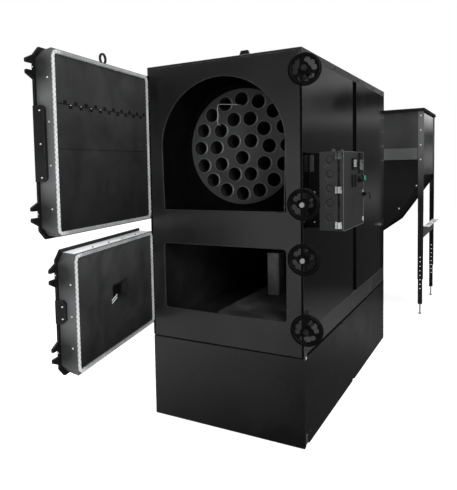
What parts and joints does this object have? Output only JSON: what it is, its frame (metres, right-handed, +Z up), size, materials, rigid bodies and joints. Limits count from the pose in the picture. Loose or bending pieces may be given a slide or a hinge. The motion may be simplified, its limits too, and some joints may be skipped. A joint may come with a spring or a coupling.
{
  "type": "industrial boiler",
  "caption": "Black solid-fuel fire-tube boiler on a plinth with two clamped swing doors standing open, a side control box and a funnel hopper on legs behind.",
  "frame": {"origin": "on the floor under the middle of the boiler's base", "axes": "+Z up, +Y from the doors to the hopper, +X to the control box side"},
  "size_m": [1.44, 5.3777, 2.22],
  "materials": {
    "casing_paint": "black semi-gloss paint",
    "plate_paint": "black satin heat-proof paint",
    "chamber_black": "sooty black heat-proof paint",
    "tube_steel": "grey primed tube sheet",
    "refractory": "cast refractory concrete",
    "door_band": "grey-black painted steel band",
    "door_plate": "black paint",
    "lining": "black insulating refractory board",
    "rope": "white braided ceramic rope",
    "bolt_steel": "bright zinc-plated steel",
    "hardware_black": "black painted bracket steel",
    "wheel_plastic": "black moulded handwheel",
    "box_paint": "black powder coat",
    "controls": "black instrument plastic",
    "hopper_paint": "dark grey paint",
    "leg_paint": "black painted angle steel"
  },
  "bodies": {
    "boiler": {"base_frame": "hardware_black", "boiler_drum": "tube_steel", "box_body": "box_paint", "box_bracket": "hardware_black", "clamp_brackets": "hardware_black", "feed_drive": "leg_paint", "feed_housing": "leg_paint", "fire_tubes": "tube_steel", "flue_box": "hardware_black", "flue_outlet": "hardware_black", "front_plate": "plate_paint", "front_side_panels": "casing_paint", "furnace_box": "chamber_black", "hearth": "refractory", "hinge_brackets": "hardware_black", "hopper_bin": "hopper_paint", "hopper_feet": "bolt_steel", "hopper_funnel": "hopper_paint", "hopper_legs": "leg_paint", "hopper_lid": "hopper_paint", "hopper_rails": "hopper_paint", "hopper_ties": "hopper_paint", "joint_channels": "hardware_black", "leg_slides": "leg_paint", "lifting_lugs": "hardware_black", "plinth_front": "casing_paint", "plinth_rear": "casing_paint", "plinth_sides": "casing_paint", "rear_panel": "casing_paint", "rear_side_panels": "casing_paint", "refractory_blocks": "refractory", "side_bands": "casing_paint", "smoke_chamber": "chamber_black", "top_panel": "casing_paint", "tube_sheet": "tube_steel", "water_nozzles": "hardware_black"},
    "box_lid": {"box_lid": "box_paint", "lid_controls": "controls"},
    "upper_door": {"upper_door_box": "door_band", "upper_door_lining": "lining", "upper_door_seal": "rope", "upper_door_plate": "door_plate", "upper_door_fittings": "hardware_black"},
    "upper_door_lower_clamp_bolt": {"upper_door_lower_clamp_bolt": "bolt_steel"},
    "upper_door_lower_clamp_handwheel": {"upper_door_lower_clamp_handwheel": "wheel_plastic"},
    "upper_door_upper_clamp_bolt": {"upper_door_upper_clamp_bolt": "bolt_steel"},
    "upper_door_upper_clamp_handwheel": {"upper_door_upper_clamp_handwheel": "wheel_plastic"},
    "lower_door": {"lower_door_box": "door_band", "lower_door_lining": "lining", "lower_door_seal": "rope", "lower_door_plate": "door_plate", "lower_door_fittings": "hardware_black"},
    "lower_door_lower_clamp_bolt": {"lower_door_lower_clamp_bolt": "bolt_steel"},
    "lower_door_lower_clamp_handwheel": {"lower_door_lower_clamp_handwheel": "wheel_plastic"},
    "lower_door_upper_clamp_bolt": {"lower_door_upper_clamp_bolt": "bolt_steel"},
    "lower_door_upper_clamp_handwheel": {"lower_door_upper_clamp_handwheel": "wheel_plastic"}
  },
  "joints": [
    {"name": "upper_door_hinge", "type": "hinge", "parent": "boiler", "child": "upper_door", "pos_m": [-0.466, -1.117, 1.624], "axis": [0, 0, 1], "range_deg": [-26.1, 83.9]},
    {"name": "upper_door_lower_clamp_swing", "type": "hinge", "parent": "boiler", "child": "upper_door_lower_clamp_bolt", "pos_m": [0.5, -1.05, 1.312], "axis": [0, 0, 1], "range_deg": [-26.1, 83.9]},
    {"name": "upper_door_lower_clamp_spin", "type": "hinge", "parent": "upper_door_lower_clamp_bolt", "child": "upper_door_lower_clamp_handwheel", "pos_m": [0.52145, -1.22469, 1.312], "axis": [0.1219, -0.9925, 0], "continuous": true},
    {"name": "upper_door_upper_clamp_swing", "type": "hinge", "parent": "boiler", "child": "upper_door_upper_clamp_bolt", "pos_m": [0.5, -1.05, 1.96], "axis": [0, 0, 1], "range_deg": [-26.1, 83.9]},
    {"name": "upper_door_upper_clamp_spin", "type": "hinge", "parent": "upper_door_upper_clamp_bolt", "child": "upper_door_upper_clamp_handwheel", "pos_m": [0.53207, -1.22305, 1.96], "axis": [0.1822, -0.9833, 0], "continuous": true},
    {"name": "lower_door_hinge", "type": "hinge", "parent": "boiler", "child": "lower_door", "pos_m": [-0.466, -1.117, 0.862], "axis": [0, 0, 1], "range_deg": [-31.1, 78.9]},
    {"name": "lower_door_lower_clamp_swing", "type": "hinge", "parent": "boiler", "child": "lower_door_lower_clamp_bolt", "pos_m": [0.5, -1.05, 0.69], "axis": [0, 0, 1], "range_deg": [-31.1, 78.9]},
    {"name": "lower_door_lower_clamp_spin", "type": "hinge", "parent": "lower_door_lower_clamp_bolt", "child": "lower_door_lower_clamp_handwheel", "pos_m": [0.53358, -1.22277, 0.69], "axis": [0.1908, -0.9816, 0], "continuous": true},
    {"name": "lower_door_upper_clamp_swing", "type": "hinge", "parent": "boiler", "child": "lower_door_upper_clamp_bolt", "pos_m": [0.5, -1.05, 1.041], "axis": [0, 0, 1], "range_deg": [-31.1, 78.9]},
    {"name": "lower_door_upper_clamp_spin", "type": "hinge", "parent": "lower_door_upper_clamp_bolt", "child": "lower_door_upper_clamp_handwheel", "pos_m": [0.52145, -1.22469, 1.041], "axis": [0.1219, -0.9925, 0], "continuous": true},
    {"name": "box_lid_hinge", "type": "hinge", "parent": "boiler", "child": "box_lid", "pos_m": [0.625, -0.972, 1.3625], "axis": [0, 0, 1], "range_deg": [-105, 0]}
  ],
  "couplings": [
    {"joint": "upper_door_lower_clamp_swing", "follows": "upper_door_hinge", "ratio": 1},
    {"joint": "upper_door_upper_clamp_swing", "follows": "upper_door_hinge", "ratio": 1},
    {"joint": "lower_door_lower_clamp_swing", "follows": "lower_door_hinge", "ratio": 1},
    {"joint": "lower_door_upper_clamp_swing", "follows": "lower_door_hinge", "ratio": 1}
  ]
}
